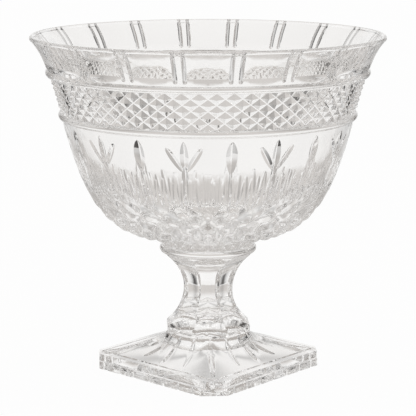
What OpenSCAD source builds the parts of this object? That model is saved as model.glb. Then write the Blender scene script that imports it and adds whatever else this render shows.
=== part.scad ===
// Footed fruit bowl in clear cut crystal: a bowl, a waisted stem and a square foot,
// ground flat and bonded at two seams. Millimetres, +Z up, origin under the middle of the foot.

/* [Bowl] */
// Diameter across the rim
rim_d = 250; // [230:1:270]
// Height of the bowl from its ground base to the rim
bowl_h = 150; // [140:1:165]
// Thickness of the wall at the rim
rim_wall = 4; // [3:0.25:6]
// How far the flare steers inward from a straight line to the rim
flare_pull = 2.2; // [0:0.1:4]
// Diameter of the wall at the upper ridge
shoulder_d = 225; // [215:1:235]
// Height of the upper ridge above the ground base
shoulder_z = 124; // [118:0.5:128]
// Height of the lower ridge above the ground base
low_ridge_z = 94; // [86:0.5:98]
// Radius of each ridge's round bead
ridge_r = 2.8; // [2:0.1:3.5]
// How far each ridge stands out of the wall
ridge_out = 1.8; // [1:0.1:2.4]
// Thickness of the wall below the ridges
body_wall = 8; // [7:0.25:10]
// Thickness of the glass above the ground base
floor_t = 11; // [8:0.5:16]
// Diameter of the ground base that sits on the stem
base_d = 62; // [50:1:66]
// Diameter of the short cone above the ground base, at its top
cone_d = 71; // [68:0.5:76]
// Height of that cone
cone_h = 4.5; // [3:0.25:6]
// Radius that the side of the bowl steers for
side_pull_r = 96; // [90:1:102]
// Height that the side of the bowl steers for
side_pull_z = 74; // [66:1:80]
// Radius that the turn of the underside steers for
turn_pull_r = 91; // [84:1:98]
// Height that the turn of the underside steers for
turn_pull_z = 9; // [4:1:16]

/* [Rim cutting] */
// Number of flat panels round the rim
panels = 20; // [16:1:24]
// Depth of a panel at its middle
panel_depth = 1.3; // [0.8:0.1:1.5]
// Height of a panel's lower edge above the ground base
panel_z = 130; // [129:0.5:134]
// Height of the small facet under a panel
panel_toe = 3.25; // [2:0.25:3.5]
// Diameter of the round flutes between two panels
flute_d = 3; // [2:0.25:4]
// Distance between the two flutes of a pair
flute_gap = 6.6; // [5:0.1:8]
// Height of the flutes' round lower ends above the ground base
flute_z = 130; // [129:0.5:134]

/* [Diamond band] */
// Number of diamonds round the band
diamonds = 60; // [48:1:72]
// Number of half rows of diamonds
diamond_rows = 6; // [4:1:8]
// Depth of the grooves between the diamonds
diamond_depth = 2.2; // [1.2:0.1:2.4]

/* [Leaf and mitre cutting] */
// Depth of the cut leaves
leaf_depth = 1.3; // [0.8:0.1:2]
// Length of the leaves of a sprig
leaf_l = 17; // [12:0.5:18]
// Width of the leaves of a sprig
leaf_w = 3.2; // [2:0.1:4]
// Width of the single leaves
broad_leaf_w = 6; // [4:0.1:8]
// Height of the middle of the leaves above the ground base
leaf_z = 80; // [76:0.5:82]
// Tilt of the outer leaves of a sprig
leaf_tilt = 34; // [20:1:40]
// Height of the upper ends of the mitre cuts that run down to the base
mitre_z = 48; // [44:1:52]
// Distance of the mitre cuts' lower ends from the cone above the base
mitre_gap = 2.4; // [1.5:0.1:4]
// Angle of each side of a mitre cut off its middle plane
mitre_angle = 55; // [45:1:60]
// Radius of the sweep of the mitre cuts
mitre_sweep_r = 84; // [80:1:90]

/* [Stem] */
// Height of the stem
stem_h = 63.4; // [56:0.2:70]
// Diameter of the round upper collar
collar_d = 69.5; // [66:0.5:76]
// Thickness of the upper collar
collar_t = 5.4; // [4:0.1:7]
// Distance across the flats of the eight-sided waist
waist_w = 34.4; // [28:0.2:40]
// Height of the waist above the stem's lower face
waist_z = 30.8; // [28:0.2:33]
// Distance across the flats of the lower collar
knop_w = 59; // [54:0.5:62]
// Thickness of the lower collar
knop_t = 4.6; // [4:0.1:7]
// How far the shaft stays inside the flat of the upper collar
shaft_inset = 0.5; // [0.25:0.25:1.5]

/* [Foot] */
// Side of the square foot
foot_side = 124.5; // [118:0.5:134]
// Length taken off each side at a clipped corner
corner_clip = 13; // [8:0.5:18]
// Height of the foot
foot_h = 26.2; // [25:0.2:32]
// Height of the plinth's lower band
band_h = 5.2; // [4:0.1:6.5]
// How far the plinth's upper step is set in
step_in = 2.6; // [1.5:0.1:4]
// Height of the plinth at its clipped corners
plinth_h = 10; // [8.5:0.1:11]
// Radius of the hollow square top
hollow_r = 64; // [60:0.5:70]
// Radius of the round neck that rises to the stem
neck_sweep_r = 34; // [30:0.5:38]
// Diameter of the ground seat under the stem
seat_d = 57; // [50:0.5:58]
// Angle of each side of a radial flute off its middle plane
flute_angle = 60; // [50:1:65]
// Distance between the seat's edge and the flutes' upper ends
flute_start = 1.5; // [0.5:0.25:3]
// Level length of the three flutes of a side
side_flute_l = 20; // [17:0.5:23]
// Radius of the wheel that cuts the flutes of a side
side_wheel_r = 24; // [22:0.5:26]
// Angle between the flutes of one side
side_fan = 22.5; // [20:0.5:24]
// Level length of the flute of a corner
corner_flute_l = 27; // [22:0.5:32]
// Radius of the wheel that cuts the flute of a corner
corner_wheel_r = 52; // [48:1:56]
// Number of upright notches along each side of the plinth
notches = 7; // [5:1:9]
// Diameter of the upright notches
notch_d = 2.4; // [1.5:0.1:3]
// How much thicker the glass over the hollow under the foot is than the plinth
hollow_cover = 1; // [0.5:0.25:3]

/* [Fit] */
// Thickness of the clear adhesive at each seam
bond_t = 0.2; // [0.1:0.05:0.4]
// How far the adhesive stops short of a seam's edge
bond_inset = 0.5; // [0.25:0.25:2]
// Angle of the bowl's cutting against the foot's diagonal
bowl_turn = -3; // [-9:0.5:9]

/* [Hidden] */

$fn = 96;
corners = 4;
flats = 8;
curve_steps = 14;
flare_steps = 6;
clear = 40;
bury = 1.6;
ring_bed = 0.4;
cutter_h = 4.2;
halvings = 24;
slope_step = 1;
front_corner = -45;

rim_r = rim_d / 2;
shoulder_r = shoulder_d / 2;
base_r = base_d / 2;
cone_r = cone_d / 2;
half_side = foot_side / 2;
neck_reach = seat_d / 2 + sqrt(pow(neck_sweep_r, 2) - pow(neck_sweep_r + plinth_h - foot_h, 2));
bottom_z = 0;
stem_z = foot_h + bond_t;
bowl_z = stem_z + stem_h + bond_t;
waist_rise = waist_z - knop_t;
waist_hollow = (knop_w - waist_w) / 2;
waist_sweep_r = (pow(waist_rise, 2) + pow(waist_hollow, 2)) / (2 * waist_hollow);
panel_pitch = 360 / panels;
first_panel = front_corner + bowl_turn;
band_low = low_ridge_z + ridge_r - (ridge_r - ridge_out) / 2;
band_high = shoulder_z - ridge_r + (ridge_r - ridge_out) / 2;

// Curves

function bezier2(p, t) = (1 - t) * (1 - t) * p[0] + 2 * t * (1 - t) * p[1] + t * t * p[2];
function bezier3(p, t) =
    (1 - t) * bezier2([p[0], p[1], p[2]], t) + t * bezier2([p[1], p[2], p[3]], t);

// Outer side of the bowl from the upper ridge (0) down to the top of the cone above the base (1)
body = [[shoulder_r, shoulder_z], [side_pull_r, side_pull_z], [turn_pull_r, turn_pull_z], [cone_r, cone_h]];

// Inner side of the bowl from the upper ridge (0) down to the middle of its floor (1)
well = [
    [shoulder_r - body_wall, shoulder_z],
    [side_pull_r - body_wall, side_pull_z],
    [turn_pull_r, turn_pull_z + floor_t],
    [0, floor_t]
];

// Flare of the rim, outside and inside, from the upper ridge (0) up to the rim (1)
rim_edge_z = bowl_h - rim_wall / 2;
flare_mid = [(shoulder_r + rim_r) / 2 - flare_pull, (shoulder_z + rim_edge_z) / 2 + flare_pull];
flare = [[shoulder_r, shoulder_z], flare_mid, [rim_r, rim_edge_z]];
inner_flare = [
    [shoulder_r - body_wall, shoulder_z],
    flare_mid - [(body_wall + rim_wall) / 2, 0],
    [rim_r - rim_wall, rim_edge_z]
];

// Place on a curve at a height, by halving
function place(curve, z, rising, low = 0, high = 1, n = halvings) =
    let (mid = (low + high) / 2)
    let (at = len(curve) == 4 ? bezier3(curve, mid) : bezier2(curve, mid))
    n == 0 ? mid : (at[1] < z) == rising
        ? place(curve, z, rising, mid, high, n - 1)
        : place(curve, z, rising, low, mid, n - 1);
function body_r(z) = bezier3(body, place(body, z, false))[0];
function flare_r(z) = bezier2(flare, place(flare, z, true))[0];
function body_lean(z) = atan((body_r(z + slope_step) - body_r(z - slope_step)) / (2 * slope_step));

// Bowl

band_floor_low = body_r(band_low) - diamond_depth - ring_bed;
band_floor_high = body_r(band_high) - diamond_depth - ring_bed;

module bowl_profile() {
    band_at = place(body, band_low, false);
    polygon(concat(
        [[0, 0], [base_r, 0]],
        [for (i = [0 : curve_steps]) bezier3(body, 1 - (1 - band_at) * i / curve_steps)],
        [[band_floor_low, band_low], [band_floor_high, band_high]],
        [[body_r(band_high), band_high]],
        [for (i = [0 : flare_steps]) bezier2(flare, i / flare_steps)],
        [for (i = [0 : flare_steps]) bezier2(inner_flare, 1 - i / flare_steps)],
        [for (i = [1 : curve_steps]) bezier3(well, i / curve_steps)]
    ));
    translate([rim_r - rim_wall / 2, rim_edge_z]) circle(d = rim_wall);
    for (z = [low_ridge_z, shoulder_z])
        translate([body_r(z) + ridge_out - ridge_r, z]) circle(r = ridge_r);
}

// Cutter for one flat rim panel and the small facet under it
module rim_panel() {
    low_r = flare_r(panel_z) - panel_depth;
    high_r = rim_r - panel_depth;
    toe_r = flare_r(panel_z - panel_toe);
    rotate([90, 0, 0])
        linear_extrude(height = rim_r * sin(panel_pitch) * 2, center = true)
            polygon([
                [toe_r, panel_z - panel_toe],
                [low_r, panel_z],
                [high_r, rim_edge_z],
                [high_r + (high_r - low_r), 2 * rim_edge_z - panel_z],
                [rim_r + clear, 2 * rim_edge_z - panel_z],
                [rim_r + clear, panel_z - panel_toe]
            ]);
}

// Cutter for one round-ended upright flute at the edge between two panels
module rim_flute() {
    low = [flare_r(flute_z), flute_z];
    high = [rim_r, rim_edge_z];
    lean = atan2(high[0] - low[0], high[1] - low[1]);
    translate([low[0], 0, low[1]]) rotate([0, lean, 0]) {
        cylinder(d = flute_d, h = 2 * norm(high - low));
        sphere(d = flute_d);
    }
}

// Ring of pyramids between the two ridges
module diamond_ring() {
    pitch = 360 / diamonds;
    row_h = (band_high - band_low) / diamond_rows;
    row_z = [for (k = [0 : diamond_rows]) band_low + k * row_h];
    row_r = [for (z = row_z) body_r(z)];
    function at(r, a, z) = [r * cos(a), r * sin(a), z];
    grooves = [for (k = [0 : diamond_rows]) for (j = [0 : diamonds - 1])
        at(row_r[k] - diamond_depth, (j + (k % 2) / 2) * pitch, row_z[k])];
    tips = [for (k = [1 : diamond_rows - 1]) for (j = [0 : diamonds - 1])
        at(row_r[k], (j + (k % 2) / 2 + 0.5) * pitch, row_z[k])];
    inner_edges = [[band_floor_low - bury, band_low], [band_floor_high - bury, band_high]];
    inner = [for (edge = inner_edges) for (j = [0 : diamonds - 1]) at(edge[0], j * pitch, edge[1])];
    function g(k, j) = k * diamonds + (j + diamonds) % diamonds;
    function tip(k, j) = len(grooves) + (k - 1) * diamonds + j;
    function inn(k, j) = len(grooves) + len(tips) + k * diamonds + (j + diamonds) % diamonds;
    // Groove crossing above or below the diamond that starts at crossing j of row k
    function over(k, j) = j + k % 2;
    top = diamond_rows;
    faces = concat(
        [for (k = [1 : top - 1]) for (j = [0 : diamonds - 1]) each [
            [tip(k, j), g(k + 1, over(k, j)), g(k, j + 1)],
            [tip(k, j), g(k, j), g(k + 1, over(k, j))],
            [tip(k, j), g(k - 1, over(k, j)), g(k, j)],
            [tip(k, j), g(k, j + 1), g(k - 1, over(k, j))]
        ]],
        [for (j = [0 : diamonds - 1]) each [
            [g(0, j), g(1, j), g(0, j + 1)],
            [g(top, j), g(top, j + 1), g(top - 1, over(top, j))],
            [inn(0, j), inn(0, j + 1), inn(1, j)],
            [inn(1, j), inn(0, j + 1), inn(1, j + 1)],
            [g(0, j), g(0, j + 1), inn(0, j)],
            [inn(0, j), g(0, j + 1), inn(0, j + 1)],
            [g(top, j), inn(1, j), g(top, j + 1)],
            [inn(1, j), inn(1, j + 1), g(top, j + 1)]
        ]]
    );
    polyhedron(points = concat(grooves, tips, inner), faces = faces);
}

// Cutter for one leaf: the edge of a wheel that dips into the wall
module leaf(width, tilt, side) {
    wheel_r = (leaf_l * leaf_l / 4 + leaf_depth * leaf_depth) / (2 * leaf_depth);
    half_w = cutter_h * width / 2 / leaf_depth;
    angle = asin(side / body_r(leaf_z));
    rotate([0, 0, angle])
        translate([body_r(leaf_z), 0, leaf_z])
            rotate([0, body_lean(leaf_z), 0])
                rotate([tilt, 0, 0])
                    translate([wheel_r - leaf_depth, 0, 0])
                        rotate([90, 0, 0])
                            rotate_extrude()
                                polygon([
                                    [wheel_r, 0],
                                    [wheel_r - cutter_h, half_w],
                                    [wheel_r - cutter_h, -half_w]
                                ]);
}

// Cutters for a sprig of three leaves
module sprig() {
    spread = leaf_l / 2 * sin(leaf_tilt);
    leaf(leaf_w, 0, 0);
    for (s = [-1, 1])
        leaf(leaf_w, -s * leaf_tilt, s * spread);
}

// Cutter for one mitre cut that runs from the side down to the cone above the base
module mitre() {
    half_w = cutter_h * tan(mitre_angle);
    high = [body_r(mitre_z), mitre_z];
    low = [cone_r + mitre_gap, body_z_at(cone_r + mitre_gap)];
    chord = high - low;
    rise = sqrt(mitre_sweep_r * mitre_sweep_r - chord * chord / 4);
    middle = (high + low) / 2 + rise * [-chord[1], chord[0]] / norm(chord);
    start = atan2(low[1] - middle[1], low[0] - middle[0]);
    end = atan2(high[1] - middle[1], high[0] - middle[0]);
    translate([middle[0], 0, middle[1]])
        rotate([90, 0, 0])
            rotate([0, 0, start])
                rotate_extrude(angle = end - start)
                    polygon([
                        [mitre_sweep_r, 0],
                        [mitre_sweep_r + cutter_h, -half_w],
                        [mitre_sweep_r + cutter_h, half_w]
                    ]);
}

// Height of the outer side at a radius near the base, by halving
function body_z_at(r, low = 0.5, high = 1, n = halvings) =
    let (mid = (low + high) / 2)
    n == 0 ? bezier3(body, mid)[1] : bezier3(body, mid)[0] > r
        ? body_z_at(r, mid, high, n - 1)
        : body_z_at(r, low, mid, n - 1);

module bowl_cuts() {
    for (i = [0 : panels - 1])
        rotate([0, 0, i * panel_pitch]) {
            rim_panel();
            rotate([0, 0, panel_pitch / 2]) {
                half_pair = asin(flute_gap / 2 / rim_r);
                for (s = [-1, 1])
                    rotate([0, 0, s * half_pair]) rim_flute();
                mitre();
                if (i % 2 == 0)
                    leaf(broad_leaf_w, 0, 0);
                else
                    sprig();
            }
        }
}

module bowl() {
    color([0.95, 0.95, 0.94, 0.5])
        translate([0, 0, bowl_z]) rotate([0, 0, first_panel]) {
            difference() {
                rotate_extrude() bowl_profile();
                bowl_cuts();
            }
            rotate([0, 0, 180 / diamonds]) diamond_ring();
        }
}

// Stem

module stem() {
    shaft_h = stem_h - collar_t;
    collar_flat_r = (collar_d - collar_t) / 2;
    shaft_r = collar_flat_r - shaft_inset;
    color([0.93, 0.93, 0.92, 0.5])
        translate([0, 0, stem_z]) {
            translate([0, 0, shaft_h])
                rotate_extrude() {
                    square([collar_flat_r, collar_t]);
                    translate([collar_flat_r, collar_t / 2]) circle(d = collar_t);
                }
            difference() {
                cylinder(r = shaft_r, h = shaft_h + collar_t / 2);
                for (i = [0 : flats - 1])
                    rotate([0, 0, i * 360 / flats]) {
                        waist_cut();
                        knop_flat();
                    }
            }
        }
}

// Cutter for one flat of the lower collar
module knop_flat() {
    translate([knop_w / 2, -collar_d, -clear]) cube([clear, 2 * collar_d, clear + waist_z]);
}

// Cutter for one hollow flat of the waist
module waist_cut() {
    translate([waist_w / 2 + waist_sweep_r, 0, waist_z])
        rotate([90, 0, 0])
            rotate([0, 0, 90])
                cylinder(r = waist_sweep_r, h = 2 * collar_d, center = true);
}

// Foot

// Clipped square outline
module foot_outline() {
    intersection() {
        square(foot_side, center = true);
        rotate([0, 0, 45]) square((foot_side - corner_clip) * sqrt(2), center = true);
    }
}

// One pair of opposite sides, seen from the side: lower band, step and hollow top
module foot_profile() {
    difference() {
        translate([-half_side, bottom_z]) square([foot_side, foot_h]);
        for (s = [-1, 1]) {
            translate([s * half_side, plinth_h + hollow_r]) circle(r = hollow_r);
            translate([s * (half_side + clear / 2 - step_in), band_h + clear / 2])
                square(clear, center = true);
        }
    }
}

// Round neck that sweeps up from the hollow top to the seat
module foot_neck() {
    rotate_extrude()
        difference() {
            translate([0, plinth_h / 2]) square([neck_reach, foot_h - plinth_h / 2]);
            translate([neck_reach, plinth_h + neck_sweep_r]) circle(r = neck_sweep_r);
        }
}

// Square hollow top with its neck, before the cuts
module foot_body() {
    intersection() {
        rotate([90, 0, 0]) linear_extrude(height = foot_side, center = true) foot_profile();
        rotate([90, 0, 90]) linear_extrude(height = foot_side, center = true) foot_profile();
        linear_extrude(height = foot_h) foot_outline();
    }
    foot_neck();
}

// Height of the round neck and of a corner's hip at a distance from the axis
function neck_z(r) = plinth_h + neck_sweep_r - sqrt(pow(neck_sweep_r, 2) - pow(neck_reach - r, 2));
function hip_z(r) = plinth_h + hollow_r - sqrt(pow(hollow_r, 2) - pow(half_side - r / sqrt(2), 2));

// Cutter for one radial flute: a wheel that dips into the foot's top between two places on it
module radial_flute(wheel_r, high, low) {
    half_w = cutter_h * tan(flute_angle);
    chord = low - high;
    rise = sqrt(wheel_r * wheel_r - chord * chord / 4);
    middle = (high + low) / 2 + rise * [-chord[1], chord[0]] / norm(chord);
    translate([middle[0], 0, middle[1]])
        rotate([90, 0, 0])
            rotate_extrude()
                polygon([[wheel_r, 0], [wheel_r - cutter_h, half_w], [wheel_r - cutter_h, -half_w]]);
}

module foot() {
    pitch = (foot_side - 2 * corner_clip) / notches;
    high_r = seat_d / 2 + flute_start;
    side_r = high_r + side_flute_l;
    corner_r = high_r + corner_flute_l;
    color([0.94, 0.94, 0.93, 0.5])
        difference() {
            foot_body();
            for (i = [0 : corners - 1]) rotate([0, 0, i * 90]) {
                for (j = [0 : notches - 1])
                    translate([half_side, (j - (notches - 1) / 2) * pitch, bottom_z - bury])
                        cylinder(d = notch_d, h = band_h + 2 * bury);
                for (a = [-side_fan, 0, side_fan])
                    rotate([0, 0, a])
                        radial_flute(side_wheel_r, [high_r, neck_z(high_r)], [side_r, neck_z(side_r)]);
                rotate([0, 0, front_corner])
                    radial_flute(corner_wheel_r, [high_r, hip_z(high_r)], [corner_r, hip_z(corner_r)]);
            }
            translate([0, 0, -plinth_h - hollow_cover]) foot_body();
        }
}

// Adhesive films

module bowl_bond() {
    color([0.9, 0.9, 0.9, 0.3])
        translate([0, 0, bowl_z - bond_t])
            cylinder(d = min(base_d, collar_d - collar_t) - 2 * bond_inset, h = bond_t);
}

module foot_bond() {
    color([0.9, 0.9, 0.9, 0.3])
        translate([0, 0, foot_h])
            cylinder(d = min(seat_d, knop_w) - 2 * bond_inset, h = bond_t);
}

bowl();
bowl_bond();
stem();
foot_bond();
foot();
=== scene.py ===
"""Looks of a footed fruit bowl in clear cut crystal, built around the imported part."""
import math

import bmesh
import bpy
import numpy as np
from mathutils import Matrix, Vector
from mathutils.geometry import delaunay_2d_cdt, tessellate_polygon


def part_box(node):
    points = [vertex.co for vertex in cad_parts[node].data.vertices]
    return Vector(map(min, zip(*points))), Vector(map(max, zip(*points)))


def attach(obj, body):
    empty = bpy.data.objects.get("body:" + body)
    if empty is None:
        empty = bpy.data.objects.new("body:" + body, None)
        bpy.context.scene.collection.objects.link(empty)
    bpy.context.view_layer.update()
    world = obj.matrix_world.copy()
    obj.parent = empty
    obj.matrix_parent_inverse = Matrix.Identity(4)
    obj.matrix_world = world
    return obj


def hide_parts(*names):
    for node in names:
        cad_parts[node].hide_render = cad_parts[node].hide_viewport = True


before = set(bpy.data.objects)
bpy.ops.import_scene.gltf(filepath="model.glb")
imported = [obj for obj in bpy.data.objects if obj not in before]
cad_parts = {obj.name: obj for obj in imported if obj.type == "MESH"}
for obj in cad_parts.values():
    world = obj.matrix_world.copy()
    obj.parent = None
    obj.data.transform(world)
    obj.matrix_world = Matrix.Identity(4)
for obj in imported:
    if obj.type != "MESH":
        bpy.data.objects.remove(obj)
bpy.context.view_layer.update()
scene = bpy.context.scene

# The object's sizes are in millimetres and its angles in degrees; the stage is in metres
MM = 0.001

# Places of the pieces, from the frame
BOWL_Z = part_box("bowl")[0].z / MM
STEM_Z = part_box("stem")[0].z / MM
STEM_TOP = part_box("stem")[1].z / MM
FOOT_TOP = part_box("foot")[1].z / MM
BOWL_BOND_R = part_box("bowl_bond")[1].x / MM
FOOT_BOND_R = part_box("foot_bond")[1].x / MM

# Meshes: angle of a sharp edge, and in metres what is welded and what counts as no length
SHARP = math.radians(22)
WELD = 1e-6
NO_LENGTH = 1e-7

# Sheets of triangles: points this close count as one
SAME_POINT = 1e-4

# Bowl curves: distance from the axis, height above the ground base
BASE = (31, 0)
BODY = ((41, 7.5), (91, 9), (96, 74), (112.5, 124))
FLARE = ((112.5, 124), (116.55, 138.2), (125, 148))
INNER_FLARE = ((121, 148), (110.55, 138.2), (104.5, 124))
WELL = ((104.5, 124), (88, 74), (91, 20), (0, 11))
RIM_MIDDLE = (123, 148)
RIM_R = 2
BEAD_HEIGHTS = (94, 124)
BEAD_R = 2.8
BEAD_SUNK = 1.0

# Numbers of points: up the bowl's outline, down its inside, and round it
CONE_POINTS = 80
BODY_POINTS = 1600
FLARE_POINTS = 400
RIM_POINTS = 7
INNER_FLARE_POINTS = 14
WELL_POINTS = 40
BOWL_TURNS = 360

# The cutting repeats ten times round the bowl, over two rim panels each time
SECTORS = 10
SECTOR = 360 / SECTORS
PANEL = 18
PANEL_EDGES = (PANEL / 2, 3 * PANEL / 2)
FIRST_PANEL = -48

# Rim panels, and flutes beside the panels' edges, at a distance that is given at a radius
PANEL_Z = 131.2
PANEL_TOE = 4.6
PANEL_DEPTH = 1.3
FLUTE_OFF = 3.3
FLUTE_OFF_R = 120
FLUTE_HALF_W = 1.5
FLUTE_DEPTH = 1.2
FLUTE_CURVE = 1.25
FLUTE_END_Z = 129.2

# Their depth: least that a wall faces a flat, and the way under the rim's top that it fades over
LEAST_FACING = 0.2
RIM_FADE = 1.5

# Diamond band
DIAMOND = 6
HALF_ROWS = 6
DIAMOND_DEPTH = 2.2
GROOVE_FLAT = 0.10
BAND_EDGE = 0.25

# All cuts: share of flat bottom, distance of the points along them, and least number of these
CUT_FLAT = 0.15
CUT_STEP = 1.4
CUT_LEAST = 6

# Leaves, stalks and tufts: radius that widths are given at, heights, sizes, slopes, ends and leans
LEAF_R = 98
LEAF_TIP_Z = 89
LEAF_SLOPE = 0.62
SINGLE_L = 25
SINGLE_HALF_W = 3.8
SINGLE_ENDS = (0.9, 0.7)
FORK_Z = 70
FORK_SUNK = 2
SPRIG_HALF_W = 2.8
SPRIG_ENDS = (0.5, 0.6)
SIDE_LEAF_L = 20
SIDE_LEAF_HALF_W = 2.2
SIDE_LEAF_ENDS = (0.5, 0.4)
SIDE_LEAF_LEAN = 31
SIDE_LEAF_OFF = 1.4
STALK_LOW_Z = 36
STALK_SLOPE = 1.0
STALK_UNDER_TIP = 20
STALK_HALF_W = 1.4
STALK_ENDS = (0.3, 0.3)
TRUNK_PAST_FORK = 3
TRUNK_HALF_W = 2.4
TRUNK_ENDS = (0.5, 0.3)
TUFT_LOW_Z = 50
TUFT_TOP_Z = 74.5
TUFT_HALF_W = 1.5
TUFT_SLOPE = 0.6
TUFT_ENDS = (0.3, 0.8)
TUFT_LEAN = 4
TUFT_OFF = 5

# Upright cuts: radius that widths are given at, number, share of the pitch, slope and ends
BLADE_R = 90
BLADES = 22
BLADE_FILL = 0.96
BLADE_SLOPE = 0.5
BLADE_ENDS = (0.3, 0.15)

# What makes them uneven, in turn: heights of foot and head, lean, and share of the plain width
BLADE_LOWS = (45, 42.5, 44, 41.5)
BLADE_TOPS = (67, 62, 66, 63, 70, 64.5, 68)
BLADE_LEANS = (4, -5, 1, 6, -3)
BLADE_WIDTHS = (1.0, 1.3, 0.75, 1.15, 0.85, 1.25)

# Round lobes of the underside, three to a sector, in staggered rows
LOBES = 3
LOBE = SECTOR / LOBES
LOBE_ROW = 12
LOBE_LOW = 2.5
LOBE_TOP_Z = 42
LOBE_DEPTH = 5.0
LOBE_RAMP = 4.0
LOBE_FADE = 0.35

# The bowl's cut side unrolled: millimetres to a degree
STRETCH = 1.75

# Its level lines: degrees between their points, and numbers of lines
FINE_STEP = 1
BEAD_STEP = 2
BEAD_ROWS = 11
RIM_STEP = 1.5
RIM_ROWS = 9

# Its flutes, creases and grooves: numbers of lines and points, and what is left free at their ends
FLUTE_ROWS = 14
FLUTE_RIM_ROWS = 8
FLUTE_LINES = 9
RIM_EDGE = 0.4
FLUTE_ROOM = 2.4
CREASE_LEVELS = 400
CREASE_POINTS = 25
LATTICE_ROWS = 25
SAME_ANGLE = 1e-6

# Its loose points: steps across and up, distance kept off the lines, and room left at the ends
GRID_STEP = 1.2
GRID_UP = 1.6
WALL_UP = 2.0
KEEP_OFF = 0.8
GRID_END = 0.4
GRID_FIRST = 1.2
UNDER_BEAD = 1
UNDER_RIM = 0.6


def bezier(points, t):
    """Points of a Bezier curve of any degree."""
    t = np.asarray(t, float)[:, None]
    rows = [np.asarray(p, float)[None, :] for p in points]
    while len(rows) > 1:
        rows = [(1 - t) * a + t * b for a, b in zip(rows[:-1], rows[1:])]
    return rows[0]


def arc(middle, radius, start, end, steps=40):
    """Points of a circle's arc between two angles."""
    angles = np.linspace(start, end, steps)
    x = middle[0] + radius * np.cos(angles)
    y = middle[1] + radius * np.sin(angles)
    return np.stack([x, y], axis=1)


def eased(count):
    """Shares from 0 to 1, closer together at both ends."""
    return 0.5 - 0.5 * np.cos(np.linspace(0, math.pi, count))


def in_turn(values, k):
    """The value whose turn it is, when the values are used over and over."""
    return values[k % len(values)]


class Profile:
    """Outer outline of the bowl, from its ground base up to the top of its rim."""

    def __init__(self):
        body = bezier(BODY, np.linspace(0, 1, BODY_POINTS))
        cone = np.linspace(BASE, BODY[0], CONE_POINTS)
        flare = bezier(FLARE, np.linspace(0, 1, FLARE_POINTS))
        wall = np.concatenate([cone[:-1], body, flare[1:]])
        self.pieces = []
        self.joints = []
        for height in BEAD_HEIGHTS:
            middle = (np.interp(height, body[:, 1], body[:, 0]) - BEAD_SUNK, height)
            wall = self.swell(wall, middle, BEAD_R, None)
        self.swell(wall, RIM_MIDDLE, RIM_R, math.pi / 2)
        self.finish()

    def swell(self, wall, middle, radius, last_angle):
        """Keeps the wall up to a round swelling, then the swelling, and returns the rest."""
        away = wall - np.array(middle)
        inside = np.nonzero(np.hypot(away[:, 0], away[:, 1]) < radius)[0]
        first, last = inside[0], inside[-1]
        start = math.atan2(away[first, 1], away[first, 0])
        end = last_angle or math.atan2(away[last, 1], away[last, 0])
        round_part = arc(middle, radius, start, end)
        self.pieces.append(np.concatenate([wall[:first], round_part[:1]]))
        self.pieces.append(round_part)
        return np.concatenate([round_part[-1:], wall[last + 1:]])

    def finish(self):
        """Joins the pieces and measures the way along them."""
        way = 0.0
        rows = []
        for piece in self.pieces:
            step = np.diff(piece, axis=0)
            along = way + np.concatenate([[0], np.cumsum(np.hypot(step[:, 0], step[:, 1]))])
            tangent = np.gradient(piece, axis=0)
            tangent /= np.hypot(tangent[:, 0], tangent[:, 1])[:, None]
            rows.append(np.column_stack([along, piece, tangent[:, 1], -tangent[:, 0]]))
            way = along[-1]
            self.joints.append(way)
        self.rows = np.concatenate(rows)

    def at(self, v):
        """Radius, height and outward normal at a way along the outline."""
        return [np.interp(v, self.rows[:, 0], self.rows[:, k]) for k in (1, 2, 3, 4)]

    def way_at_z(self, z):
        """Way along the outline at a height on the plain wall."""
        return float(np.interp(z, self.rows[:, 2], self.rows[:, 0]))


PROFILE = Profile()
LOW_BEAD, BAND_LOW, BAND_HIGH, BEAD_TOP, RIM_START, RIM_TOP = PROFILE.joints
HALF_ROW = (BAND_HIGH - BAND_LOW) / HALF_ROWS
LOBE_TOP = PROFILE.way_at_z(LOBE_TOP_Z)
CONE_TOP = PROFILE.way_at_z(BODY[0][1])


def flare_r(z, steps=200):
    """Radius of the plain flare at a height."""
    curve = bezier(FLARE, np.linspace(0, 1, steps))
    return float(np.interp(z, curve[:, 1], curve[:, 0]))


PANEL_LOW = (flare_r(PANEL_Z) - PANEL_DEPTH, PANEL_Z)
PANEL_HIGH = (FLARE[2][0] - PANEL_DEPTH, FLARE[2][1])
TOE_LOW = (flare_r(PANEL_Z - PANEL_TOE), PANEL_Z - PANEL_TOE)


def plane_depth(u, v, low, high):
    """How deep the nearest panel's flat, through two points of its middle, cuts the wall."""
    slope = (high[0] - low[0]) / (high[1] - low[1])
    r, z, out_r, out_z = PROFILE.at(v)
    cosine = np.cos(np.radians(u - PANEL * np.round(u / PANEL)))
    over = r * cosine - low[0] - slope * (z - low[1])
    return over / np.maximum(out_r * cosine - slope * out_z, LEAST_FACING)


def flat_depth(u, v):
    """Depth of the panels' flats, below zero outside them."""
    return plane_depth(u, v, PANEL_LOW, PANEL_HIGH)


def toe_depth(u, v):
    """Depth of the small facets under the panels, below zero outside them."""
    return plane_depth(u, v, TOE_LOW, PANEL_LOW)


def panel_depth(u, v):
    """Depth of the rim panels with the facets under them."""
    return np.maximum(np.minimum(flat_depth(u, v), toe_depth(u, v)), 0)


FLUTE_END = PROFILE.way_at_z(FLUTE_END_Z)
FLUTE_TURN = math.degrees(FLUTE_OFF / FLUTE_OFF_R)
FLUTE_ANGLES = [edge + side * FLUTE_TURN for edge in PANEL_EDGES for side in (-1, 1)]


def flute_depth(u, v):
    """Depth of the pairs of nearly V-shaped, round-ended flutes between the panels."""
    r = PROFILE.at(v)[0]
    depth = np.zeros_like(u)
    for angle in FLUTE_ANGLES:
        across = np.radians(u - angle) * r
        away = np.hypot(across, np.minimum(v - FLUTE_END, 0))
        depth = np.maximum(depth, FLUTE_DEPTH * (1 - (away / FLUTE_HALF_W) ** FLUTE_CURVE))
    return depth


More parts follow.
